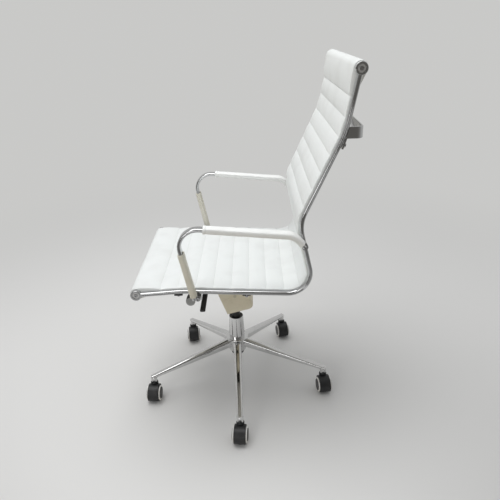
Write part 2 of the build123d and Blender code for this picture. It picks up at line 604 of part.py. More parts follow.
def make_lever():
    pin_x, pin_z = LEVER_PIVOT
    route = FilletPolyline(
        (PADDLE_TO - PADDLE_SOLID_END, LEVER_Y, pin_z), (pin_x - LEVER_STRAIGHT, LEVER_Y, pin_z),
        (0, -LEVER_SHORT, LEVER_PRESS), radius=LEVER_BEND)
    section = Plane(origin=route @ 0, z_dir=route % 0) * Circle(LEVER_RADIUS)
    lever = sweep(section, path=route)
    lever += Pos(0, 0, LEVER_PRESS) * Sphere(LEVER_RADIUS)
    lever -= lever_pin(RUNNING)
    paddle_plane = Plane(origin=(PADDLE_FROM, LEVER_Y, pin_z), x_dir=(0, 1, 0), z_dir=(1, 0, 0))
    outer = RectangleRounded(PADDLE_WIDTH, PADDLE_THICK, PADDLE_ROUND)
    paddle = extrude(paddle_plane * outer, PADDLE_TO - PADDLE_FROM)
    end = paddle.faces().sort_by(Axis.X)[-1]
    paddle = fillet(end.edges(), PADDLE_END_ROUND)
    bore = Plane(origin=(PADDLE_FROM, LEVER_Y, pin_z), z_dir=(1, 0, 0))
    paddle -= extrude(bore * Circle(LEVER_RADIUS), PADDLE_TO - PADDLE_SOLID_END - PADDLE_FROM)
    nodes["lift_lever"] = [lever]
    nodes["lift_lever_paddle"] = [paddle]
    nodes["lift_lever_pin"] = [lever_pin()]


def make_knob():
    shaft_end = BOX_HALF_WIDTH + EAR_THICK + SHAFT_PAST_EAR
    spindle = along_x(SPINDLE_RADIUS, shaft_end - SPINDLE_IN_SHAFT + SOFT_GAP, KNOB_FROM, PIVOT)
    knob = along_x(KNOB_RADIUS, KNOB_FROM, KNOB_TO, PIVOT)
    knob = fillet(knob.edges().filter_by(GeomType.CIRCLE).sort_by(Axis.X)[0], KNOB_ROUND)
    for index in range(FLUTES):
        angle = 2 * math.pi * index / FLUTES
        reach = KNOB_RADIUS + FLUTE_OUT
        at = (PIVOT[0] + reach * math.cos(angle), PIVOT[1] + reach * math.sin(angle))
        knob -= along_x(FLUTE_RADIUS, KNOB_FROM, KNOB_TO, at)
    nodes["tension_knob"] = [spindle + knob]
    cap = along_x(KNOB_RADIUS - KNOB_CAP_INSET, KNOB_TO, KNOB_TO + KNOB_CAP, PIVOT)
    rim = cap.edges().filter_by(GeomType.CIRCLE).sort_by(Axis.X)[-1]
    nodes["tension_knob_cap"] = [fillet(rim, KNOB_CAP_ROUND)]


def shroud_block(inset):
    """Block with the shroud's outline, rounded along its foot and rear, its faces drawn in by inset."""
    half = SHROUD_HALF_WIDTH - inset
    face = outline(SHROUD_OUTLINE)
    if inset:
        face = offset(face, -inset)
    block = extrude(face, half, both=True)
    block = fillet(block.edges().filter_by(Axis.X).sort_by(Axis.Y)[-1], SHROUD_REAR_ROUND - inset)
    (foot_y, _), (_, rear_z) = SHROUD_OUTLINE[0], SHROUD_OUTLINE[2]
    rims = [
        edge for edge in block.edges()
        if abs(abs(edge.center().X) - half) < RUNNING
        and edge.center().Y > foot_y and edge.center().Z < rear_z]
    return fillet(rims, SHROUD_SIDE_ROUND - inset)


def make_shroud():
    half = SHROUD_HALF_WIDTH
    shroud = shroud_block(0) - shroud_block(SHROUD_WALL)
    (rear_y, rear_z), (front_y, front_z) = SHROUD_OUTLINE[2], SHROUD_OUTLINE[3]
    lid = outline([
        (rear_y, rear_z - SHROUD_TOP_CUT), (front_y, front_z - SHROUD_TOP_CUT),
        (front_y - SHROUD_LID_REACH, front_z + SHROUD_LID_RISE),
        (rear_y + SHROUD_LID_REACH, rear_z + SHROUD_LID_RISE)])
    shroud -= extrude(lid, half + CUT_OVER, both=True)
    foot_y, foot_z = SHROUD_OUTLINE[0]
    sill = foot_z + SHROUD_FRONT_SILL
    front_room = outline([
        (front_y - SHROUD_FRONT_REACH, front_z + SHROUD_FRONT_RISE), (front_y - SHROUD_FRONT_REACH, sill),
        (foot_y + SHROUD_FRONT_IN, sill), (front_y + SHROUD_FRONT_RISE, front_z + SHROUD_FRONT_RISE)])
    shroud -= extrude(front_room, BOX_HALF_WIDTH + SHROUD_BOX_GAP, both=True)
    shroud -= upright(LIFT_RADIUS + SHROUD_LIFT_GAP, foot_z - SHROUD_HOLE_FOOT, SOCKET_TOP - SHROUD_HOLE_TOP)
    low_y, low_z = SHROUD_OUTLINE[0]
    slope = math.atan2(SHROUD_OUTLINE[1][1] - low_z, SHROUD_OUTLINE[1][0] - low_y)
    for rib in range(RIB_COUNT):
        lift = RIB_FIRST + rib * RIB_STEP
        start_y = low_y - lift * math.sin(slope) - RIB_BACK
        start_z = low_z + lift * math.cos(slope) - RIB_BACK * math.tan(slope)
        middle = (half, start_y + RIB_AHEAD * math.cos(slope), start_z + RIB_AHEAD * math.sin(slope))
        line = Location(middle, (math.degrees(slope), 0, 0))
        for cut in both_sides(line * Box(2 * RIB_DEPTH, RIB_LENGTH, RIB_WIDTH)):
            shroud -= cut
    screw_hole = SHROUD_SCREW_RADIUS + HOLE_CLEARANCE
    for hole in both_sides(along_x(screw_hole, half - 2 * SHROUD_WALL, half + CUT_OVER, SHROUD_SCREW_AT)):
        shroud -= hole
    nodes["tilt_shroud"] = [shroud]
    screw = bolt((half, *SHROUD_SCREW_AT), (-1, 0, 0), SHROUD_SCREW_RADIUS, SHROUD_SCREW_LENGTH,
                 M6_HEAD_RADIUS, SHROUD_SCREW_HEAD)
    nodes["tilt_shroud_screws"] = both_sides(screw)


def make_seat_plate():
    front = SEAT_SPREADER_AT[0] - PLATE_PAST_SPREADER
    rear = SEAT_SPREADER_AT[1] + PLATE_PAST_SPREADER
    middle = Location((0, (front + rear) / 2, PLATE_TOP - PLATE_THICK / 2))
    plate = middle * Box(2 * PLATE_HALF_WIDTH, rear - front, PLATE_THICK)
    plate = fillet(plate.edges().filter_by(Axis.Z), PLATE_ROUND)
    ear_from = BOX_HALF_WIDTH + SOFT_GAP
    ear_outline = outline([
        (PIVOT[0] - EAR_FRONT, PLATE_TOP - EAR_SINK), (PIVOT[0] + EAR_REAR, PLATE_TOP - EAR_SINK),
        (PIVOT[0] + EAR_NECK, PIVOT[1] - EAR_FOOT), (PIVOT[0] - EAR_NECK, PIVOT[1] - EAR_FOOT)])
    ear = extrude(ear_outline, EAR_THICK / 2, both=True)
    ear += along_x(2 * SHAFT_RADIUS, -EAR_THICK / 2, EAR_THICK / 2, PIVOT)
    for side in both_sides(Pos(ear_from + EAR_THICK / 2, 0, 0) * ear):
        plate += side
    end = BOX_HALF_WIDTH + EAR_THICK + SHAFT_PAST_EAR
    plate -= along_x(SHAFT_RADIUS + RUNNING, -end, end, PIVOT)
    bolts = []
    for y in SEAT_SPREADER_AT:
        for x in (-PLATE_BOLT_X, PLATE_BOLT_X):
            seat = (x, y, PLATE_TOP - PLATE_THICK)
            plate -= bolt_hole(seat, (0, 0, 1), M8_RADIUS, PLATE_THICK)
            length = PLATE_THICK + SPREADER_THICK
            bolts.append(bolt(seat, (0, 0, 1), M8_RADIUS, length, M8_HEAD_RADIUS, M8_HEAD))
    nodes["tilt_seat_plate"] = [plate]
    nodes["tilt_plate_bolts"] = bolts


# Side rails and what joins them

def rail_blank():
    """Left rail before its holes are cut: bar, eyes and the tab under the armrest's front foot."""
    section = RectangleRounded(RAIL_WIDTH, RAIL_DEPTH, RAIL_ROUND)
    section -= Pos(RAIL_WIDTH / 2, 0) * Rectangle(2 * GROOVE_DEPTH, GROOVE_WIDTH)
    rail = swept(section, side_path(RAIL_POINTS, RAIL_BENDS, RAIL_X))
    for knuckle in (RAIL_POINTS[0], RAIL_POINTS[-1]):
        eye = along_x(EYE_RADIUS, RAIL_INNER, RAIL_OUTER, knuckle)
        rail += fillet(eye.edges().filter_by(GeomType.CIRCLE), EYE_ROUND)
    low_y, low_z = ARM_LOW_BOLT
    top = rail_height(low_y)
    tab_height = top - low_z + LUG_WIDTH / 2
    tab = Box(RAIL_WIDTH - RAIL_FLAT, ARM_LOW_TAB, tab_height, align=(Align.MAX, Align.CENTER, Align.MAX))
    rail += Pos(RAIL_OUTER, low_y, top) * tab
    for knuckle in (RAIL_POINTS[0], RAIL_POINTS[-1]):
        rail -= along_x(CROSS_TUBE_RADIUS + RUNNING, RAIL_INNER - CUT_OVER, RAIL_OUTER + CUT_OVER, knuckle)
    return rail


def make_frame():
    rail = rail_blank()
    bolts = []

    # Bars under the seat, with saddle ends under the rails
    for name, y, reach in zip(("front", "rear"), SEAT_SPREADER_AT, SPREADER_REACH):
        end_z = rail_height(y) - RAIL_DEPTH / 2 - SPREADER_THICK / 2 + SPREADER_SADDLE
        end_x = RAIL_X + reach
        flat_x, ramp_x = RAIL_X - SPREADER_FOOT, RAIL_X - SPREADER_FOOT - SPREADER_RAMP
        route = FilletPolyline(
            (-end_x, y, end_z), (-flat_x, y, end_z), (-ramp_x, y, SPREADER_MID),
            (ramp_x, y, SPREADER_MID), (flat_x, y, end_z), (end_x, y, end_z), radius=SPREADER_BEND)
        section = Plane(origin=route @ 0, x_dir=(0, 1, 0), z_dir=route % 0) * RectangleRounded(
            SPREADER_WIDTH, SPREADER_THICK, SPREADER_ROUND)
        bar = sweep(section, path=route)
        bar = bar - rail - mirrored(rail)
        for x in (-PLATE_BOLT_X, PLATE_BOLT_X):
            below = (x, y, PLATE_TOP - CUT_OVER)
            bar -= bolt_hole(below, (0, 0, 1), M8_RADIUS, SPREADER_THICK + 2 * CUT_OVER)
        seat = (RAIL_X, y, end_z - SPREADER_THICK / 2)
        hole = bolt_hole(seat, (0, 0, 1), M6_RADIUS, SPREADER_THICK + BOLT_IN_RAIL)
        bar = bar - hole - mirrored(hole)
        rail -= hole
        bolts += both_sides(bolt(seat, (0, 0, 1), M6_RADIUS, SPREADER_THICK + BOLT_IN_RAIL - SOFT_GAP,
                                 M6_HEAD_RADIUS, M6_HEAD))
        nodes[f"seat_spreader_{name}"] = [bar]

    # Grab bar behind the back
    at, along, normal = rail_point(rail_distance(lambda point: point.Z >= BACK_BAR_AT))
    bar_y = at.Y + BACK_BAR_STANDOFF
    route = FilletPolyline(
        (-RAIL_X, at.Y, BACK_BAR_AT), (-RAIL_X, bar_y, BACK_BAR_AT),
        (RAIL_X, bar_y, BACK_BAR_AT), (RAIL_X, at.Y, BACK_BAR_AT), radius=BACK_BAR_BEND)
    section = Plane(origin=route @ 0, x_dir=(1, 0, 0), z_dir=route % 0) * RectangleRounded(
        BACK_BAR_THICK, BACK_BAR_HEIGHT, BACK_BAR_ROUND)
    bar = sweep(section, path=route)
    foot_out = RAIL_DEPTH / 2 + BACK_FOOT_THICK / 2 - BACK_FOOT_SINK
    foot_shift = (BACK_BAR_HEIGHT - BACK_FOOT_LENGTH) / 2
    foot_plane = Plane(origin=at - normal * foot_out + Vector(RAIL_X, 0, 0) + along * foot_shift,
                       x_dir=(1, 0, 0), z_dir=-normal)
    foot = foot_plane * Box(RAIL_WIDTH - RAIL_FLAT, BACK_FOOT_LENGTH, BACK_FOOT_THICK)
    bar = bar + foot + mirrored(foot) - rail - mirrored(rail)
    screw_seat = foot_plane * Pos(0, BACK_FOOT_LENGTH / 2 - 2 * M6_HEAD_RADIUS, BACK_FOOT_THICK / 2)
    seat, inward = screw_seat.position, normal
    hole = bolt_hole(seat, inward, M6_RADIUS, BACK_FOOT_THICK + BOLT_IN_RAIL)
    bar = bar - hole - mirrored(hole)
    rail -= hole
    bolts += both_sides(bolt(seat, inward, M6_RADIUS, BACK_FOOT_THICK + BOLT_IN_RAIL - SOFT_GAP,
                             M6_HEAD_RADIUS, M6_HEAD))
    nodes["back_grab_bar"] = [part for part in bar.solids()]

    # Armrest bolts, at the tab below the seat rail and on the back rail
    for y, z in (ARM_LOW_BOLT, ARM_REAR_BOLT):
        seat = (RAIL_OUTER + LUG_THICK, y, z)
        length = LUG_THICK + BOLT_IN_RAIL
        rail -= bolt_hole(seat, (-1, 0, 0), M6_RADIUS, length)
        bolts += both_sides(bolt(seat, (-1, 0, 0), M6_RADIUS, length - SOFT_GAP,
                                 ARM_BOLT_HEAD_RADIUS, ARM_BOLT_HEAD))
    nodes["side_rail_left"] = [rail]
    nodes["side_rail_right"] = [mirrored(rail)]
    nodes["frame_bolts"] = bolts

    # Tubes that stretch the sling between the rails' eyes
    tube_end = RAIL_OUTER - EYE_RECESS - PLUG_FLANGE
    plugs, screws = [], []
    for name, knuckle in (("seat_front_tube", RAIL_POINTS[0]), ("back_top_tube", RAIL_POINTS[-1])):
        bore = CROSS_TUBE_RADIUS - CROSS_TUBE_WALL
        tube = along_x(CROSS_TUBE_RADIUS, -tube_end, tube_end, knuckle)
        tube -= along_x(bore, -tube_end, tube_end, knuckle)
        nodes[name] = [tube]
        plug = along_x(bore, tube_end - PLUG_LENGTH, tube_end, knuckle)
        plug += along_x(CROSS_TUBE_RADIUS - PLUG_FLANGE_INSET, tube_end, tube_end + PLUG_FLANGE, knuckle)
        seat = (tube_end + PLUG_SCREW_SEAT, *knuckle)
        plug -= along_x(M6_HEAD_RADIUS + HOLE_CLEARANCE, tube_end + PLUG_SCREW_SEAT, RAIL_OUTER, knuckle)
        plug -= bolt_hole(seat, (-1, 0, 0), M6_RADIUS, PLUG_LENGTH + PLUG_SCREW_SEAT)
        plugs += both_sides(plug)
        screws += both_sides(bolt(seat, (-1, 0, 0), M6_RADIUS, PLUG_LENGTH, M6_HEAD_RADIUS, PLUG_SCREW_HEAD))
    nodes["tube_plugs"] = plugs
    nodes["tube_plug_screws"] = screws


# Ribbed sling

def sling_section(x, share, crown):
    """Side outline of the sling at x. Share scales its thickness, crown scales the swell of each rib."""
    def edge_point(distance, height):
        point, _, normal = rail_point(distance)
        return Vector(x, point.Y, point.Z) + normal * height

    first, last = FIRST_SEAM, RAIL_PATH.length - LAST_SEAM
    pitch = (last - first) / RIB_PITCH_COUNT
    seams = [first + pitch * index for index in range(RIB_PITCH_COUNT + 1)]
    front, back = SEAM_FRONT * share, SEAM_BACK * share
    roll = ROLL_RADIUS * (1 - ROLL_SHARE + ROLL_SHARE * share)
    corners = []
    for distance in (0.0, RAIL_PATH.length):
        point, tangent, normal = rail_point(distance)
        corners.append((Vector(x, point.Y, point.Z), tangent, normal))
    (low, low_t, low_n), (high, high_t, high_n) = corners
    slant = roll / math.sqrt(2)

    def ribs(height, swell):
        for here, there in zip(seams, seams[1:]):
            yield ThreePointArc(
                edge_point(here, height), edge_point((here + there) / 2, height + swell),
                edge_point(there, height))

    def panel(knuckle, reach, seam, height, side):
        """End panel between a roll and its nearest seam."""
        start, end = knuckle + reach, edge_point(seam, height)
        middle = edge_point(seam / 2 if seam == first else (seam + RAIL_PATH.length) / 2, 0)
        chord = (start - middle).dot(reach.normalized()) + abs(height)
        lift = chord * PANEL_BLEND + PANEL_CROWN * crown
        return ThreePointArc(start, middle + reach.normalized() * lift * side, end)

    edges = [panel(low, low_n * roll, first, front, 1)]
    edges += ribs(front, CROWN_FRONT * crown)
    edges += [panel(high, high_n * roll, last, front, 1)]
    edges += [
        ThreePointArc(high + high_n * roll, high + (high_n + high_t) * slant, high + high_t * roll),
        ThreePointArc(high + high_t * roll, high + (high_t - high_n) * slant, high - high_n * roll),
        Line(high - high_n * roll, edge_point(last, -back)),
    ]
    edges += ribs(-back, -CROWN_BACK * crown)
    edges += [
        Line(edge_point(first, -back), low - low_n * roll),
        ThreePointArc(low - low_n * roll, low - (low_n + low_t) * slant, low - low_t * roll),
        ThreePointArc(low - low_t * roll, low + (low_n - low_t) * slant, low + low_n * roll),
    ]
    return make_face(edges)


def make_sling():
    edge = RAIL_INNER - SOFT_GAP
    full = edge - EDGE_TAPER
    sections = [
        sling_section(-edge, EDGE_THICK, EDGE_SHARE), sling_section(-full, 1.0, 1.0),
        sling_section(full, 1.0, 1.0), sling_section(edge, EDGE_THICK, EDGE_SHARE)]
    sling = loft(sections, ruled=True)
    for knuckle in (RAIL_POINTS[0], RAIL_POINTS[-1]):
        sling -= along_x(CROSS_TUBE_RADIUS + SOFT_GAP, -RAIL_X, RAIL_X, knuckle)
    nodes["sling"] = [sling]


# Armrests

def point_between(start, end, distance):
    """Point a distance from start towards end, in side view."""
    length = math.dist(start, end)
    return tuple(a + (b - a) * distance / length for a, b in zip(start, end))


def sleeve_tube(points, bends):
    section = RectangleRounded(SLEEVE_WIDTH, SLEEVE_THICK, SLEEVE_THICK * PILLOW)
    hollow_thick = ARM_STRAP_THICK + 2 * SOFT_GAP
    hollow = RectangleRounded(ARM_STRAP_WIDTH + 2 * SOFT_GAP, hollow_thick, hollow_thick * PILLOW)
    if bends:
        path = side_path(points, bends, ARM_X)
    else:
        path = Line(*[(ARM_X, y, z) for y, z in points])
    return swept(section - hollow, path)


def lug(end, hole):
    """Round-ended plate from the strap's end to its bolt, against the rail's outer face."""
    middle = [(a + b) / 2 for a, b in zip(end, hole)]
    angle = math.degrees(math.atan2(hole[1] - end[1], hole[0] - end[0]))
    plane = Plane(origin=(RAIL_OUTER, *middle), x_dir=(0, 1, 0), z_dir=(1, 0, 0))
    plate = extrude(plane * SlotCenterToCenter(math.dist(end, hole), LUG_WIDTH, rotation=angle), LUG_THICK)
    return plate - bolt_hole((RAIL_OUTER, *hole), (1, 0, 0), M6_RADIUS, LUG_THICK)


def make_armrests():
    foot, corner, rear, end = ARM_POINTS
    section = RectangleRounded(ARM_STRAP_WIDTH, ARM_STRAP_THICK, ARM_STRAP_THICK * PILLOW)
    strap = swept(section, side_path(ARM_POINTS, ARM_BENDS, ARM_X))
    arm = strap + lug(foot, ARM_LOW_BOLT) + lug(end, ARM_REAR_BOLT)
    top = sleeve_tube(
        [point_between(corner, rear, CHROME_AFTER_BEND), rear, point_between(end, rear, SLEEVE_FROM_END)],
        ARM_BENDS[1])
    front = sleeve_tube(
        [point_between(foot, corner, SLEEVE_FROM_END), point_between(corner, foot, CHROME_BEFORE_BEND)], None)
    for name, shape in (("arm_strap", arm), ("arm_top_sleeve", top), ("arm_front_sleeve", front)):
        nodes[f"{name}_left"] = [shape]
        nodes[f"{name}_right"] = [mirrored(shape)]


def write_nodes():
    os.makedirs("parts", exist_ok=True)
    for name, shapes in nodes.items():
        solids = [solid for shape in shapes for solid in shape.solids()]
        export_step(solids[0] if len(solids) == 1 else Compound(children=solids), f"parts/{name}.step")
    print(len(nodes), "nodes,", sum(len(shapes) for shapes in nodes.values()), "pieces")


make_castors()
make_base()
make_lift()
make_tilt_box()
make_lever()
make_knob()
make_shroud()
make_seat_plate()
make_frame()
make_sling()
make_armrests()
write_nodes()
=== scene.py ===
# %% [markdown]
# # A swivel office chair
# The chair arrives as a packed mechanical model: rails, base, gas lift, tilt box and castors, each
# on the body that carries it. This lesson adds what that model leaves plain, which is the sewn
# sling, the armrest sleeves, the thread, and a finish for every surface. Everything is in metres,
# with the origin on the floor under the swivel axis.

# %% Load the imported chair
import json
import math
import bpy
from mathutils import Matrix, Vector, noise


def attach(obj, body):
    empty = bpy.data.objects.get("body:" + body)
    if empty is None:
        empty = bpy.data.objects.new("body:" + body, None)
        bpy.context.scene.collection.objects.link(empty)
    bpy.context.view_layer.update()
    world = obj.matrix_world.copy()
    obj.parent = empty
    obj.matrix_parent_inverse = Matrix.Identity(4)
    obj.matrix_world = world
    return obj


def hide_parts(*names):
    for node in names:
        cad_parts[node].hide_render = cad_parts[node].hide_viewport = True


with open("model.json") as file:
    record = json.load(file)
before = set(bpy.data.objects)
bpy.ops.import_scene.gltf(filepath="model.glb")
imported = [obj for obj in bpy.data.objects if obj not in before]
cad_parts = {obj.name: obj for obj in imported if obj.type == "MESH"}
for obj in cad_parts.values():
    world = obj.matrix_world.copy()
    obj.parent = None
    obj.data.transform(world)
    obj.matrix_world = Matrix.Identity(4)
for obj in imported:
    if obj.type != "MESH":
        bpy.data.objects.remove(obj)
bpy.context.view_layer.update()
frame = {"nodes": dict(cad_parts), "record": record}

nodes = frame["nodes"]

# %% [markdown]
# ## Camera
# The photograph looks at the sitter's left side from above the armrests, with a slight roll. A
# camera could be aimed with a constraint. Here its three axes are worked out from yaw, pitch and
# roll, so that the picture lines up with the photograph to a pixel or two.

# %% Camera
EYE = Vector((1.44854, 0.07476, 1.17095))
YAW, PITCH, LEAN = (math.radians(a) for a in (-0.75323, 24.97806, -2.03864))
ahead = Vector((-math.cos(YAW) * math.cos(PITCH), math.sin(YAW) * math.cos(PITCH),
                -math.sin(PITCH)))
level_right = ahead.cross(Vector((0, 0, 1))).normalized()
level_up = level_right.cross(ahead)
right = math.cos(LEAN) * level_right + math.sin(LEAN) * level_up
up = math.cos(LEAN) * level_up - math.sin(LEAN) * level_right

camera_data = bpy.data.cameras.new("photo_camera")
camera_data.sensor_width = 36.0
camera_data.lens = 35.66
camera = bpy.data.objects.new("photo_camera", camera_data)
axes = Matrix((right, up, -ahead)).transposed().to_4x4()
camera.matrix_world = Matrix.Translation(EYE) @ axes
bpy.context.scene.collection.objects.link(camera)
bpy.context.scene.camera = camera
bpy.context.scene.view_settings.view_transform = "Standard"
print("camera at", tuple(round(v, 3) for v in EYE), "lens", camera_data.lens)

# %% [markdown]
# ## Shader expressions
# A finish is a small sum: a colour, plus a little variation, plus a bump. Nodes can be wired one by
# one, but an expression is easier to read. The class wraps an output socket, so that
# `0.3 + 0.1 * grain` adds its own Math nodes. Every other node comes from its one `node` method.

# %% A socket that does arithmetic
class Value:
    def __init__(self, tree, socket):
        self.tree = tree
        self.socket = socket

    def node(self, kind, settings=None, inputs=None, out=0):
        made = self.tree.nodes.new(kind)
        for key, setting in (settings or {}).items():
            if key == "stops":
                ramp = made.color_ramp.elements
                while len(ramp) < len(setting):
                    ramp.new(0.5)
                for element, (position, colour) in zip(ramp, setting):
                    element.position = position
                    element.color = colour
            else:
                setattr(made, key, setting)
        for key, value in (inputs or {}).items():
            if isinstance(value, Value):
                self.tree.links.new(value.socket, made.inputs[key])
            else:
                made.inputs[key].default_value = value
        return Value(self.tree, made.outputs[out])

    def math(self, operation, first, second):
        return self.node("ShaderNodeMath", {"operation": operation}, {0: first, 1: second})

    def __add__(self, other):
        return self.math("ADD", self, other)

    def __radd__(self, other):
        return self.math("ADD", other, self)

    def __sub__(self, other):
        return self.math("SUBTRACT", self, other)

    def __rsub__(self, other):
        return self.math("SUBTRACT", other, self)

    def __mul__(self, other):
        return self.math("MULTIPLY", self, other)

    def __rmul__(self, other):
        return self.math("MULTIPLY", other, self)

    def between(self, low, high):
        """0 below low, 1 above high, smooth in between."""
        return self.node("ShaderNodeMapRange", {"interpolation_type": "SMOOTHSTEP"},
                         {"Value": self, "From Min": low, "From Max": high})


print("a wrapped socket takes + - * and between")


# %% Parts that every finish shares
def new_finish(name):
    """A material with its shader and the place on the piece, in metres."""
    material = bpy.data.materials.new(name)
    material.use_nodes = True
    tree = material.node_tree
    shader = tree.nodes["Principled BSDF"]
    coordinates = tree.nodes.new("ShaderNodeTexCoord")
    return material, shader, Value(tree, coordinates.outputs["Object"])


def cloudy(place, scale, detail=3.0, roughness=0.55):
    return place.node("ShaderNodeTexNoise", None,
                      {"Vector": place, "Scale": scale, "Detail": detail, "Roughness": roughness})


def colour_mix(mask, first, second):
    return mask.node("ShaderNodeMix", {"data_type": "RGBA"}, {0: mask, 6: first, 7: second}, out=2)


def two_tone(mask, first, second):
    return colour_mix(mask, (*first, 1.0), (*second, 1.0))


def raised(height, distance, strength):
    return height.node("ShaderNodeBump", None,
                       {"Height": height, "Distance": distance, "Strength": strength})


def feed(shader, socket, value):
    value.tree.links.new(value.socket, shader.inputs[socket])


print("helpers: clouds, two tones, bump")

# %% [markdown]
# ## Leatherette
# The sling and the sleeves are coated cloth: a near white skin with a fine pebble grain and a low,
# even sheen. Grain could be painted as an image. A cell pattern about a millimetre across does it
# at any distance, with a broad cloud that lets the gloss wander a little, as it does where a chair
# is rubbed. The top sleeves get a lighter copy as painted light, the front ones a darker, warmer
# copy as painted shade.

# %% Leatherette finish
RUBBED_PATCHES, GRAIN_CELLS, PORES = 9.0, 780.0, 2200.0
GRAIN_DEPTH = 0.00022


def leatherette(name, clean, worn, gloss):
    material, shader, place = new_finish(name)
    handled = cloudy(place, RUBBED_PATCHES).between(0.42, 0.72)
    feed(shader, "Base Color", two_tone(handled, clean, worn))
    cells = place.node("ShaderNodeTexVoronoi", {"feature": "SMOOTH_F1"},
                       {"Vector": place, "Scale": GRAIN_CELLS, "Smoothness": 0.6})
    pores = cloudy(place, PORES, 2.0)
    grain = cells * 0.7 + pores * 0.3
    feed(shader, "Roughness", gloss + 0.1 * handled + 0.05 * pores)
    feed(shader, "Normal", raised(grain, GRAIN_DEPTH, 0.55))
    shader.inputs["Specular IOR Level"].default_value = 0.45
    return material


SLING_SKIN = leatherette("white_leatherette", (0.79, 0.812, 0.802), (0.745, 0.762, 0.75), 0.36)
# Lit and shaded copies of one leatherette: top sleeves lighter as painted light, front sleeves
# darker and warmer as painted shade.
SLEEVE_LIT_AND_SHADED_SKINS = {
    "top": leatherette("top_sleeve_painted_light", (0.88, 0.89, 0.875), (0.83, 0.835, 0.815), 0.34),
    "front": leatherette("front_sleeve_painted_shade", (0.72, 0.695, 0.60), (0.65, 0.62, 0.52), 0.38),
}
print("leatherette:", SLING_SKIN.name, *(skin.name for skin in SLEEVE_LIT_AND_SHADED_SKINS.values()))

# %% [markdown]
# ## Chrome, steel and plastics
# Plated tube is a mirror with faint smears. Black steel is powder coated, which leaves a fine
# orange peel. Moulded plastic has a spark-eroded grain. Each is one short function, so that a
# change of gloss is one number.

# %% Metal and plastic finishes
SMEARS, POLISH_MARKS = 26.0, 420.0
HANDLING_MARKS, STAINS = 60.0, 120.0
SMEARED_SHARE = 0.93
TOOL_LINES, TOOL_LINE_DEPTH = (40.0, 900.0, 900.0), 0.00008


def plated(name, tint):
    material, shader, place = new_finish(name)
    smears = cloudy(place, SMEARS, 5.0).between(0.45, 0.75)
    polish = cloudy(place, POLISH_MARKS, 2.0)
    feed(shader, "Base Color", two_tone(smears, tint, tuple(SMEARED_SHARE * v for v in tint)))
    feed(shader, "Roughness", 0.055 + 0.045 * smears + 0.01 * polish)
    shader.inputs["Metallic"].default_value = 1.0
    return material


def moulded(name, base, marked, gloss, grain_scale, grain_depth):
    material, shader, place = new_finish(name)
    marks = cloudy(place, HANDLING_MARKS, 6.0, 0.65).between(0.5, 0.8)
    grain = cloudy(place, grain_scale, 2.0)
    feed(shader, "Base Color", two_tone(marks, base, marked))
    feed(shader, "Roughness", gloss + 0.12 * marks + 0.06 * grain)
    feed(shader, "Normal", raised(grain, grain_depth, 0.5))
    return material


def machined(name, base, marked, gloss):
    material, shader, place = new_finish(name)
    stretched = place.node("ShaderNodeMapping", None, {"Vector": place, "Scale": TOOL_LINES})
    lines = cloudy(stretched, 1.0, 2.0)
    stains = cloudy(place, STAINS).between(0.5, 0.8)
    feed(shader, "Base Color", two_tone(stains, base, marked))
    feed(shader, "Roughness", gloss + 0.15 * lines)
    feed(shader, "Normal", raised(lines, TOOL_LINE_DEPTH, 0.4))
    shader.inputs["Metallic"].default_value = 1.0
    return material


print("finishes: plated, moulded, machined")

# %% A finish for every node
FINISHES = {
    "frame_chrome": plated("frame_chrome", (0.540, 0.545, 0.550)),
    "base_chrome": plated("base_chrome", (0.670, 0.670, 0.670)),
    "black_steel": moulded("powder_coated_steel", (0.014, 0.014, 0.015), (0.03, 0.03, 0.031),
                           0.42, 900.0, 0.0001),
    "shroud_plastic": moulded("cream_plastic", (0.82, 0.765, 0.615), (0.76, 0.70, 0.55),
                              0.44, 1500.0, 0.00008),
    "castor_plastic": moulded("castor_nylon", (0.011, 0.0115, 0.0125), (0.03, 0.029, 0.028),
                              0.4, 1200.0, 0.00008),
    "castor_ring": moulded("castor_ring_plastic", (0.88, 0.87, 0.84), (0.76, 0.74, 0.69),
                           0.26, 1400.0, 0.00005),
    "black_plastic": moulded("black_plastic", (0.016, 0.016, 0.017), (0.035, 0.035, 0.035),
                             0.44, 1500.0, 0.0001),
    "knob_cap": moulded("grey_plastic", (0.34, 0.35, 0.36), (0.27, 0.275, 0.28),
                        0.4, 1500.0, 0.00008),
    "torsion_rubber": moulded("moulded_rubber", (0.02, 0.02, 0.02), (0.04, 0.04, 0.039),
                              0.7, 700.0, 0.0001),
    "bolt_steel": machined("bolt_plating", (0.50, 0.50, 0.51), (0.36, 0.36, 0.365), 0.18),
    "plug_chrome": machined("plug_steel", (0.74, 0.74, 0.73), (0.62, 0.62, 0.61), 0.36),
    "shroud_screw": moulded("cream_paint", (0.66, 0.62, 0.51), (0.58, 0.53, 0.43),
                            0.4, 900.0, 0.00006),
    "bright_steel": machined("ground_steel", (0.55, 0.56, 0.58), (0.45, 0.45, 0.46), 0.22),
    "sling_leatherette": SLING_SKIN,
    "sleeve_leatherette": SLEEVE_LIT_AND_SHADED_SKINS["top"],
}
slot_of = {part["node"]: part["material_slot"] for part in frame["record"]["subparts"]}
for name, piece in nodes.items():
    piece.data.materials.clear()
    piece.data.materials.append(FINISHES[slot_of[name]])
print("finishes on", len(nodes), "nodes")

# %% [markdown]
# ## The line of the side rails
# The sling hangs between two bent rails, so its whole shape hangs on one side-view line: straight
# runs joined by round bends. A curve object could be sampled, but the line is needed by distance
# along it, with its normal on the sitter's side, so it is kept as a list of runs and arcs.

# %% Straight runs and bends
RAIL_CORNERS = [(-0.268, 0.474), (-0.130, 0.482), (0.240, 0.461),
                (0.193, 0.676), (0.303, 0.913), (0.332, 1.060)]
RAIL_BENDS = [0.600, 0.062, 0.100, 0.300]
ARM_CORNERS = [(-0.100, 0.4705), (-0.1399, 0.6855), (0.177, 0.653), (0.204, 0.620)]
ARM_BENDS = [0.051, 0.045]


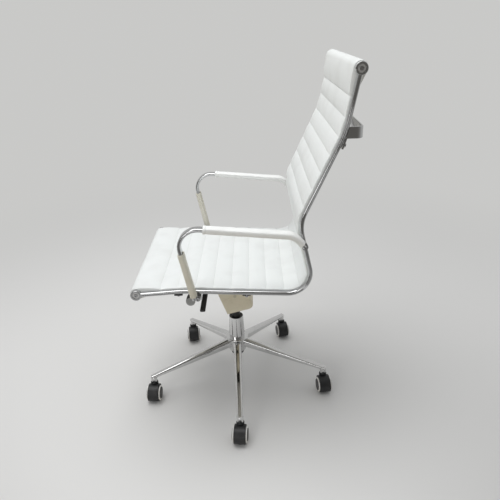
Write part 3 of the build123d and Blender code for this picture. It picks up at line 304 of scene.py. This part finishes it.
class BentLine:
    """Runs and arcs in side view. Points are (y, z) vectors."""

    def __init__(self, corners, bends):
        corners = [Vector(c) for c in corners]
        self.runs = []
        start = corners[0]
        for index, bend in enumerate(bends):
            here, after = corners[index + 1], corners[index + 2]
            into, out = (here - start).normalized(), (after - here).normalized()
            turn = math.atan2(into.x * out.y - into.y * out.x, into.dot(out))
            cut = bend * math.tan(abs(turn) / 2)
            curl = turn / (bend * abs(turn))
            self.runs.append((start, into, (here - into * cut - start).length, 0.0))
            self.runs.append((here - into * cut, into, bend * abs(turn), curl))
            start = here + out * cut
        last = corners[-1] - start
        self.runs.append((start, last.normalized(), last.length, 0.0))
        self.length = sum(run[2] for run in self.runs)

    def at(self, distance):
        """Point, direction and left-hand normal."""
        for start, into, length, curl in self.runs:
            if distance <= length or (start, into, length, curl) == self.runs[-1]:
                break
            distance -= length
        if curl == 0.0:
            point, direction = start + into * distance, into
        else:
            angle = curl * distance
            side = Vector((-into.y, into.x))
            point = start + (into * math.sin(angle) + side * (1 - math.cos(angle))) / curl
            direction = into * math.cos(angle) + side * math.sin(angle)
        return point, direction, Vector((-direction.y, direction.x))


rail_line = BentLine(RAIL_CORNERS, RAIL_BENDS)
arm_line = BentLine(ARM_CORNERS, ARM_BENDS)
print("rail line", round(rail_line.length, 3), "m, arm line", round(arm_line.length, 3), "m")

# %% [markdown]
# ## The sling
# Seat and back are one padded strip, sewn across into channels and rolled round a tube at each end.
# It could be a displaced plane, but the rolls and the flat sewn edge need a closed form. Each
# column across the width is one closed outline: ribs on the sitter's side, round the top roll,
# flatter ribs behind, round the front roll.

# %% Places along and across the sling
RAIL_INNER, RAIL_GAP = 0.226, 0.0003
EDGE = RAIL_INNER - RAIL_GAP
SEAM_COUNT = 19
FIRST_SEAM, LAST_SEAM = 0.068, 0.066
RIB_STEPS, PANEL_STEPS, ROLL_STEPS = 12, 16, 12
SIDE_WIDTH, SIDE_STEPS, MIDDLE_STEPS = 0.016, 6, 44

last_seam = rail_line.length - LAST_SEAM
seam_pitch = (last_seam - FIRST_SEAM) / SEAM_COUNT
seams = [FIRST_SEAM + seam_pitch * index for index in range(SEAM_COUNT + 1)]


def eased(start, span, steps):
    """Places along a span, closer together at both ends."""
    return [start + span * (1 - math.cos(math.pi * i / steps)) / 2 for i in range(steps)]


stations = eased(0.0, FIRST_SEAM, PANEL_STEPS)
for seam in seams[:-1]:
    stations += eased(seam, seam_pitch, RIB_STEPS)
stations += eased(last_seam, LAST_SEAM, PANEL_STEPS) + [last_seam + LAST_SEAM]

inside = EDGE - SIDE_WIDTH
side_columns = [EDGE - SIDE_WIDTH * (1 - math.cos(math.pi / 2 * i / SIDE_STEPS))
                for i in range(SIDE_STEPS)]
columns = side_columns + [inside - 2 * inside * i / MIDDLE_STEPS for i in range(MIDDLE_STEPS + 1)]
columns += [-x for x in reversed(side_columns)]
print(len(columns), "columns,", len(stations), "stations")

# %% Height of the skin
SEAM_FRONT, SEAM_BACK = 0.0095, 0.0005
CROWN_FRONT, CROWN_BACK = 0.0034, 0.0024
FULL_FRONT, FULL_BACK, FULL_PANEL = 0.62, 0.8, 0.6
ROLL = 0.0185
RIM = 0.003
HAIR = 1e-9


def swell(distance, fullness):
    """0 on a seam, 1 on the crown of a rib."""
    share = ((distance - FIRST_SEAM) / seam_pitch) % 1.0
    return math.sin(math.pi * share) ** fullness


def sling_height(distance, front):
    """Height of the skin over the rail line, as a seam part and a swelling part."""
    if front:
        seam, crown, fullness = SEAM_FRONT, CROWN_FRONT, FULL_FRONT
    else:
        seam, crown, fullness = SEAM_BACK, CROWN_BACK, FULL_BACK
    if FIRST_SEAM <= distance <= last_seam:
        within = min(max(distance, FIRST_SEAM + HAIR), last_seam - HAIR)
        return seam, crown * swell(within, fullness)
    if distance < FIRST_SEAM:
        share = distance / FIRST_SEAM
    else:
        share = (rail_line.length - distance) / LAST_SEAM
    if front:
        return seam, (ROLL - seam) * max(0.0, 1 - share ** 2) ** FULL_PANEL
    return seam, (ROLL - seam) * (1 - share)


def drawn_in(x):
    """Share of thickness and of swelling kept at x: ribs fade at the sides, the rim is round."""
    depth = min(1.0, (EDGE - abs(x)) / SIDE_WIDTH)
    ease = depth * depth * (3 - 2 * depth)
    rim = math.sqrt(1 - (1 - min(1.0, (EDGE - abs(x)) / RIM)) ** 2)
    return 0.88 + 0.08 * rim + 0.04 * ease, (0.35 + 0.65 * ease) * (0.7 + 0.3 * rim)


print("rib crowns", CROWN_FRONT, "m in front,", CROWN_BACK, "m behind")


# %% Sling mesh
def sling_outline(x):
    thick, plump = drawn_in(x)

    def skin(distance, front):
        seam, rise = sling_height(distance, front)
        in_ribs = FIRST_SEAM <= distance <= last_seam
        height = seam * thick + rise * (plump if in_ribs else 0.94 + 0.06 * plump)
        point, _, normal = rail_line.at(distance)
        return point + normal * (height if front else -height)

    def roll_end(distance, outward):
        point, direction, normal = rail_line.at(distance)
        radius = (skin(distance, True) - point).length
        for i in range(1, ROLL_STEPS):
            angle = math.pi * i / ROLL_STEPS
            turned = normal * outward * math.cos(angle) + direction * outward * math.sin(angle)
            yield point + turned * radius

    outline = [skin(d, True) for d in stations]
    outline += roll_end(rail_line.length, 1)
    outline += [skin(d, False) for d in reversed(stations)]
    outline += roll_end(0.0, -1)
    return [(x, p.x, p.y) for p in outline]


def side_cap(start, count):
    """Faces over one side: a strip between the two skins and a round end at each roll."""
    half = len(stations)
    back = half + ROLL_STEPS - 1
    cap = []
    for i in range(half - 1):
        behind = start + back + half - 2 - i
        cap.append((start + i, start + i + 1, behind, behind + 1))
    cap.append(tuple(start + i for i in range(half - 1, back + 1)))
    cap.append(tuple(start + i for i in range(back + half - 1, count)) + (start,))
    return cap


def sling_faces(rings):
    """Faces through equal rings of points, with a cap on the first and the last."""
    count = len(rings[0])
    faces = []
    for r in range(len(rings) - 1):
        low, high = r * count, (r + 1) * count
        for i in range(count):
            j = (i + 1) % count
            faces.append((low + i, low + j, high + j, high + i))
    faces += [tuple(reversed(face)) for face in side_cap(0, count)]
    return faces + side_cap((len(rings) - 1) * count, count)


def new_piece(name, points, faces, material):
    mesh = bpy.data.meshes.new(name)
    mesh.from_pydata(points, [], faces)
    mesh.shade_smooth()
    mesh.materials.append(material)
    piece = bpy.data.objects.new(name, mesh)
    bpy.context.scene.collection.objects.link(piece)
    return piece


outlines = [sling_outline(x) for x in columns]
sling = new_piece("ribbed_sling", [p for ring in outlines for p in ring], sling_faces(outlines),
                  SLING_SKIN)
print("sling", len(sling.data.vertices), "vertices")

# %% [markdown]
# ## Letting the padding push
# Drawn ribs are too even. On the real sling foam pushes the skin out between the seams, and it
# puckers a little at the thread. The seams, the sides and the back are pinned, and a short cloth
# simulation with air pressure lets only the ribs and the end panels move. A cap on the movement
# keeps the form that was drawn.

# %% Inflate the ribs
PUFF_FRAMES = 16
PUFF_CAP = 0.0014
ON_SEAM, HELD_SIDE = 0.0008, 0.014


def puff(piece, held):
    """Runs cloth on the piece, held by the given weights, and keeps the capped result."""
    drawn = [v.co.copy() for v in piece.data.vertices]
    group = piece.vertex_groups.new(name="held")
    for index, weight in enumerate(held):
        group.add([index], weight, "REPLACE")
    cloth = piece.modifiers.new("padding", "CLOTH")
    settings = cloth.settings
    settings.vertex_group_mass = group.name
    settings.quality = 6
    settings.mass = 0.25
    settings.tension_stiffness = 40.0
    settings.compression_stiffness = 40.0
    settings.shear_stiffness = 20.0
    settings.bending_stiffness = 8.0
    settings.shrink_min = 0.0
    settings.use_pressure = True
    settings.uniform_pressure_force = 4.0
    settings.effector_weights.gravity = 0.0
    cloth.collision_settings.use_collision = False
    scene = bpy.context.scene
    for step in range(1, PUFF_FRAMES + 1):
        scene.frame_set(step)
    settled = piece.evaluated_get(bpy.context.evaluated_depsgraph_get()).to_mesh()
    moved = [v.co.copy() for v in settled.vertices]
    piece.modifiers.remove(cloth)
    piece.vertex_groups.remove(group)
    scene.frame_set(1)
    furthest = 0.0
    for vertex, before, after in zip(piece.data.vertices, drawn, moved):
        shift = after - before
        furthest = max(furthest, shift.length)
        if shift.length > PUFF_CAP:
            shift *= PUFF_CAP / shift.length
        vertex.co = before + shift
    piece.data.update()
    return furthest


def sling_hold():
    """1 where the skin is held, which is all but the ribs and panels on the sitter's side."""
    on_seam = [any(abs(d - s) < ON_SEAM for s in seams) for d in stations]
    weights = []
    for x, outline in zip(columns, outlines):
        side = EDGE - abs(x) < HELD_SIDE
        for i in range(len(outline)):
            front = i < len(stations)
            weights.append(1.0 if side or not front or on_seam[i] else 0.0)
    return weights


furthest = puff(sling, sling_hold())
print("ribs moved up to", round(furthest * 1000, 2), "mm before the cap")

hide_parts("sling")
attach(sling, "seat")

# %% [markdown]
# ## Thread
# Each channel is closed by a row of stitches. A bump pattern would vanish at the edge of the
# picture and in the mesh, so each stitch is a small spindle of thread lying in its seam.

# %% Stitches
TWIST = 700.0
THREAD_SIDES = 6
SPINDLE = ((-0.5, 0.35), (-0.2, 1.0), (0.2, 1.0), (0.5, 0.35))


def thread_finish():
    material, shader, place = new_finish("sewing_thread")
    twist = place.node("ShaderNodeTexWave", {"bands_direction": "DIAGONAL"},
                       {"Vector": place, "Scale": TWIST})
    feed(shader, "Base Color", two_tone(twist, (0.72, 0.72, 0.71), (0.60, 0.60, 0.585)))
    feed(shader, "Roughness", 0.55 + 0.1 * twist)
    feed(shader, "Normal", raised(twist, 0.0001, 0.6))
    return material


THREAD = thread_finish()


def spindle(middle, along, out, length, radius):
    """Points of one stitch: a ring at each share of its length, thin at both ends."""
    across = along.cross(out).normalized()
    points = []
    for share, fullness in SPINDLE:
        reach = radius * fullness
        for k in range(THREAD_SIDES):
            angle = 2 * math.pi * k / THREAD_SIDES
            points.append(middle + along * length * share + out * reach * math.sin(angle)
                          + across * reach * math.cos(angle))
    return points


def spindle_faces(base):
    faces = []
    for ring in range(len(SPINDLE) - 1):
        low, high = base + ring * THREAD_SIDES, base + (ring + 1) * THREAD_SIDES
        for k in range(THREAD_SIDES):
            n = (k + 1) % THREAD_SIDES
            faces.append((low + k, low + n, high + n, high + k))
    tip = base + (len(SPINDLE) - 1) * THREAD_SIDES
    faces.append(tuple(base + k for k in reversed(range(THREAD_SIDES))))
    faces.append(tuple(tip + k for k in range(THREAD_SIDES)))
    return faces


def stitch_rows(name, rows, stitch, body):
    """Stitches along each row, a list of (point, outward) pairs that they follow."""
    length, pitch, radius = stitch
    points, faces = [], []
    for row in rows:
        travelled, target = 0.0, pitch / 2
        for (here, out), (there, _) in zip(row, row[1:]):
            span = (there - here).length
            along = (there - here).normalized()
            while target <= travelled + span:
                middle = here + along * (target - travelled)
                faces += spindle_faces(len(points))
                points += spindle(middle, along, out, length, radius)
                target += pitch
            travelled += span
    piece = new_piece(name, points, faces, THREAD)
    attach(piece, body)
    print(name, len(points) // (len(SPINDLE) * THREAD_SIDES), "stitches")


# %% Rows on the sling
SLING_STITCH = (0.0042, 0.0055, 0.0005)
ROW_END, THREAD_PROUD = 0.206, 0.0001

seam_rows = []
for seam in seams:
    point, _, normal = rail_line.at(seam)
    on_rail = Vector((0, point.x, point.y))
    outward = Vector((0, normal.x, normal.y))
    for out, rise in ((outward, SEAM_FRONT), (-outward, SEAM_BACK)):
        rest = on_rail + out * (rise + THREAD_PROUD)
        seam_rows.append([(rest + Vector((x, 0, 0)), out) for x in (-ROW_END, ROW_END)])
stitch_rows("sling_stitches", seam_rows, SLING_STITCH, "seat")

# %% [markdown]
# ## Armrest sleeves
# The straps wear padded sleeves: one along the top, past the rear bend, and one on the upright.
# Each is a flat tube with a turned hem at both ends and a closing seam on the side next to the
# seat. A sweep would give the tube alone, so rings are laid along the arm's line and shaped one by
# one.

# %% Rings of a sleeve
ARM_X = 0.256
SLEEVE_HALF_WIDTH, SLEEVE_HALF_THICK = 0.0155, 0.00975
STRAP_HALF_WIDTH, STRAP_HALF_THICK = 0.0125, 0.00525
SLEEVE_SIDES, CORNER_POWER = 44, 0.62
SKIN_INSET, SOFT_BULGE = 0.0006, 0.0004
HEM, HEM_ROLL, HEM_NECK = 0.0075, 0.0005, 0.0004
CREASE, CREASE_REACH, DRAWN_BACK = 0.0011, 0.014, 0.0022
SEAM_RIDGE, SEAM_FROM = 0.0004, 0.9
LINING, FLARE, FLARE_REACH = 0.0005, 0.0006, 0.003


def squarish(angle, width, thick):
    """Point of a rounded oblong."""
    c, s = math.cos(angle), math.sin(angle)
    return (width * math.copysign(abs(c) ** CORNER_POWER, c),
            thick * math.copysign(abs(s) ** CORNER_POWER, s))


def round_angles(steps):
    return [2 * math.pi * k / steps for k in range(steps)]


def skin_ring(spot, start, end, side):
    """Outside of a sleeve, with creases near its ends, rolled hems and a ridge along its seam."""
    point, direction, normal = arm_line.at(spot)
    from_end = min(spot - start, end - spot)
    near_end = math.exp(-from_end / CREASE_REACH)
    inward = 1 if spot - start < end - spot else -1
    ring = []
    for angle in round_angles(SLEEVE_SIDES):
        c, s = math.cos(angle), math.sin(angle)
        u, v = squarish(angle, SLEEVE_HALF_WIDTH - SKIN_INSET, SLEEVE_HALF_THICK - SKIN_INSET)
        soft = noise.noise(Vector((spot * 38, u * 90, v * 90 + side * 7)))
        crease = noise.noise(Vector((spot * 170, angle * 0.9, side * 3 + start)))
        bulge = SOFT_BULGE * soft + CREASE * near_end * crease
        if from_end < HEM:
            bulge += HEM_ROLL * math.sin(math.pi * min(1.0, from_end / HEM)) ** 0.5
        elif from_end < HEM * 1.3:
            bulge -= HEM_NECK
        if c < -SEAM_FROM:
            bulge += SEAM_RIDGE * (-c - SEAM_FROM) * 10 * (1 if v < 0 else 0.2)
        grown = 1 + bulge / math.hypot(u, v)
        back = DRAWN_BACK * near_end * abs(noise.noise(Vector((c, s, start * 9 + side))))
        y, z = point + normal * (v * grown) + direction * inward * back
        ring.append((side * (ARM_X + u * grown), y, z))
    return ring


def lining_ring(spot, start, end, side):
    """Inside of a sleeve, just clear of the strap and a little wider at both ends."""
    point, _, normal = arm_line.at(spot)
    from_end = min(spot - start, end - spot)
    clear = LINING + FLARE * max(0.0, 1 - from_end / FLARE_REACH)
    ring = []
    for angle in round_angles(SLEEVE_SIDES):
        u, v = squarish(angle, STRAP_HALF_WIDTH + clear, STRAP_HALF_THICK + clear)
        y, z = point + normal * v
        ring.append((side * (ARM_X + u), y, z))
    return ring


print("sleeve", 2 * SLEEVE_HALF_WIDTH, "m wide,", 2 * SLEEVE_HALF_THICK, "m thick")

# %% Sleeve mesh
RING_STEP, FEWEST_RINGS = 0.0032, 24
HEM_SPOTS = (0.04, 0.85, 1.0, 1.15)


def sleeve(name, node, start, end, side, skin):
    steps = max(FEWEST_RINGS, int((end - start) / RING_STEP))
    spots = {start + (end - start) * i / steps for i in range(steps + 1)}
    for share in HEM_SPOTS:
        spots |= {start + HEM * share, end - HEM * share}
    spots = sorted(spots)
    rings = [skin_ring(spot, start, end, side) for spot in spots]
    rings += [lining_ring(spot, start, end, side) for spot in reversed(spots)]
    faces = []
    for r in range(len(rings)):
        low, high = r * SLEEVE_SIDES, (r + 1) % len(rings) * SLEEVE_SIDES
        for k in range(SLEEVE_SIDES):
            n = (k + 1) % SLEEVE_SIDES
            face = (low + k, high + k, high + n, low + n)
            faces.append(face if side > 0 else tuple(reversed(face)))
    piece = new_piece(name, [p for ring in rings for p in ring], faces, skin)
    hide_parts(node)
    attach(piece, "seat")
    print(name, len(rings), "rings")


# %% Rows on a sleeve
SLEEVE_STITCH = (0.0030, 0.0042, 0.0004)
ROW_STEPS, HEM_STEPS = 40, 60
SEAM_ROWS = (-0.45, 0.45)
ROW_INSET, ROW_SUNK, HEM_SUNK = 0.0002, 0.0009, 0.0008


def sleeve_threads(name, start, end, side):
    """Two rows beside the closing seam and one row round each hem."""
    rows = []
    for edge in SEAM_ROWS:
        row = []
        for i in range(ROW_STEPS + 1):
            spot = start + HEM + (end - start - 2 * HEM) * i / ROW_STEPS
            point, _, normal = arm_line.at(spot)
            y, z = point + normal * (SLEEVE_HALF_THICK - ROW_INSET) * edge
            x = side * (ARM_X - SLEEVE_HALF_WIDTH + ROW_SUNK)
            row.append((Vector((x, y, z)), Vector((-side, 0, 0))))
        rows.append(row)
    for spot in (start + HEM, end - HEM):
        point, _, normal = arm_line.at(spot)
        row = []
        for angle in round_angles(HEM_STEPS) + [2 * math.pi]:
            u, v = squarish(angle, SLEEVE_HALF_WIDTH - HEM_SUNK, SLEEVE_HALF_THICK - HEM_SUNK)
            lean = Vector((math.cos(angle) * SLEEVE_HALF_THICK,
                           math.sin(angle) * SLEEVE_HALF_WIDTH)).normalized()
            y, z = point + normal * v
            out = Vector((side * lean.x, normal.x * lean.y, normal.y * lean.y))
            row.append((Vector((side * (ARM_X + u), y, z)), out))
        rows.append(row)
    stitch_rows(name, rows, SLEEVE_STITCH, "seat")


# %% All four sleeves
BARE_END, BARE_BELOW_BEND, BARE_PAST_BEND = 0.0088, 0.076, 0.078

upright_run, front_bend = (run[2] for run in arm_line.runs[:2])
bend_cut = ARM_BENDS[0] * math.tan(front_bend / ARM_BENDS[0] / 2)
front_span = (BARE_END, upright_run + bend_cut - BARE_BELOW_BEND)
top_span = (upright_run + front_bend + BARE_PAST_BEND - bend_cut, arm_line.length - BARE_END)
# Each sleeve takes its painted copy: painted light on the top sleeves, painted shade on the front
# sleeves.
for hand, side in (("left", 1), ("right", -1)):
    for part, span in (("front", front_span), ("top", top_span)):
        sleeve(f"{part}_sleeve_{hand}", f"arm_{part}_sleeve_{hand}", *span, side,
               SLEEVE_LIT_AND_SHADED_SKINS[part])
        sleeve_threads(f"{part}_sleeve_thread_{hand}", *span, side)
print("sleeves", [round(v, 3) for v in (*front_span, *top_span)])

# %% [markdown]
# ## Floor and light
# The room is plain: a pale floor that runs into a pale backdrop, a large soft light overhead and
# two weak ones from the camera's side. A room that is white all round would leave the chrome white
# on white. So the floor is pale round the chair and behind it, and fades to grey on the side that
# the photograph looks from. The camera, and the chrome that mirrors the room, see that same
# background.

# %% Floor
BACKDROP, BACKDROP_GREY = (0.585, 0.585, 0.575), (0.150, 0.144, 0.134)
FLOOR_PALE, FLOOR_GREY = (0.70, 0.695, 0.68), (0.172, 0.168, 0.162)
FLOOR_BOUNCE = (0.56, 0.52, 0.45, 1.0)
PHOTO_SIDE, GREY_FROM, HAZE_FROM = (-0.2, 1.0), (0.6, 1.7), (0.7, 2.6)
FLOOR_REACH = 14.0


def background_ray(place):
    """1 for a ray that the camera sees: directly, in a mirror or through something clear."""
    direct, glossy, clear = (place.node("ShaderNodeLightPath", out=f"Is {kind} Ray")
                             for kind in ("Camera", "Glossy", "Transmission"))
    return (direct + glossy + clear).between(0.0, 1.0)


floor_mesh = bpy.data.meshes.new("floor")
floor_mesh.from_pydata([(x * FLOOR_REACH, y * FLOOR_REACH, 0)
                        for x, y in ((-1, -1), (1, -1), (1, 1), (-1, 1))], [], [(0, 1, 2, 3)])
floor = bpy.data.objects.new("floor", floor_mesh)
bpy.context.scene.collection.objects.link(floor)
floor_paint, floor_shader, floor_place = new_finish("pale_floor")
seen = background_ray(floor_place)
far = floor_place.node("ShaderNodeVectorMath", {"operation": "LENGTH"}, {0: floor_place},
                       out="Value")
heading = floor_place.node("ShaderNodeVectorMath", {"operation": "NORMALIZE"}, {0: floor_place})
toward = heading.node("ShaderNodeSeparateXYZ", None, {"Vector": heading}, out="X")
photo_side = toward.between(*PHOTO_SIDE) * far.between(*GREY_FROM)
paint_tone = two_tone(photo_side, FLOOR_PALE, FLOOR_GREY)
feed(floor_shader, "Base Color", colour_mix(seen, FLOOR_BOUNCE, paint_tone))
floor_shader.inputs["Roughness"].default_value = 0.7
haze = floor_place.node("ShaderNodeEmission", None,
                        {"Color": two_tone(photo_side, BACKDROP, BACKDROP_GREY)})
paint = Value(floor_paint.node_tree, floor_shader.outputs[0])
blend = paint.node("ShaderNodeMixShader", None,
                   {0: far.between(*HAZE_FROM) * seen, 1: paint, 2: haze})
feed(floor_paint.node_tree.nodes["Material Output"], "Surface", blend)
floor_mesh.materials.append(floor_paint)
print("floor", 2 * FLOOR_REACH, "m across")

# %% Sky
SKY_TONES = [(0.0, (0.10, 0.095, 0.09, 1)), (0.50, (0.24, 0.235, 0.23, 1)),
             (0.60, (0.52, 0.525, 0.53, 1)), (1.0, (0.80, 0.81, 0.83, 1))]
DIM_SIDE, DIMMED = (-0.2, 0.7), 0.6

world = bpy.data.worlds.new("studio")
bpy.context.scene.world = world
world.use_nodes = True
world_tree = world.node_tree
sky = Value(world_tree, world_tree.nodes.new("ShaderNodeTexCoord").outputs["Generated"])
height = sky.node("ShaderNodeSeparateXYZ", None, {"Vector": sky}, out="Z")
toward = sky.node("ShaderNodeSeparateXYZ", None, {"Vector": sky}, out="X")
tone = height.node("ShaderNodeValToRGB", {"stops": SKY_TONES}, {"Fac": height * 0.5 + 0.5})
shade = 1.0 - DIMMED * toward.between(*DIM_SIDE)
room = shade.node("ShaderNodeVectorMath", {"operation": "SCALE"}, {0: tone, 3: shade})
backdrop = two_tone(toward.between(*PHOTO_SIDE), BACKDROP, BACKDROP_GREY)
feed(world_tree.nodes["Background"], "Color", colour_mix(background_ray(sky), room, backdrop))
print("sky with", len(SKY_TONES), "tones")


# %% Lights
def soft_light(name, place, aim, size, power):
    data = bpy.data.lights.new(name, "AREA")
    data.shape = "RECTANGLE"
    data.size, data.size_y = size
    data.energy = power
    lamp = bpy.data.objects.new(name, data)
    lamp.location = place
    lamp.rotation_euler = (Vector(aim) - Vector(place)).to_track_quat("-Z", "Y").to_euler()
    bpy.context.scene.collection.objects.link(lamp)
    print("light", name, power, "W")


soft_light("overhead", place=(-0.1, -0.5, 2.9), aim=(0, 0, 0.5), size=(2.2, 1.8), power=39.5)
soft_light("camera_side", place=(2.4, -1.6, 2.2), aim=(0, 0, 0.6), size=(1.2, 1.2), power=11)
soft_light("low_fill", place=(2.4, -0.7, 0.55), aim=(0, 0, 0.25), size=(1.4, 0.5), power=5)
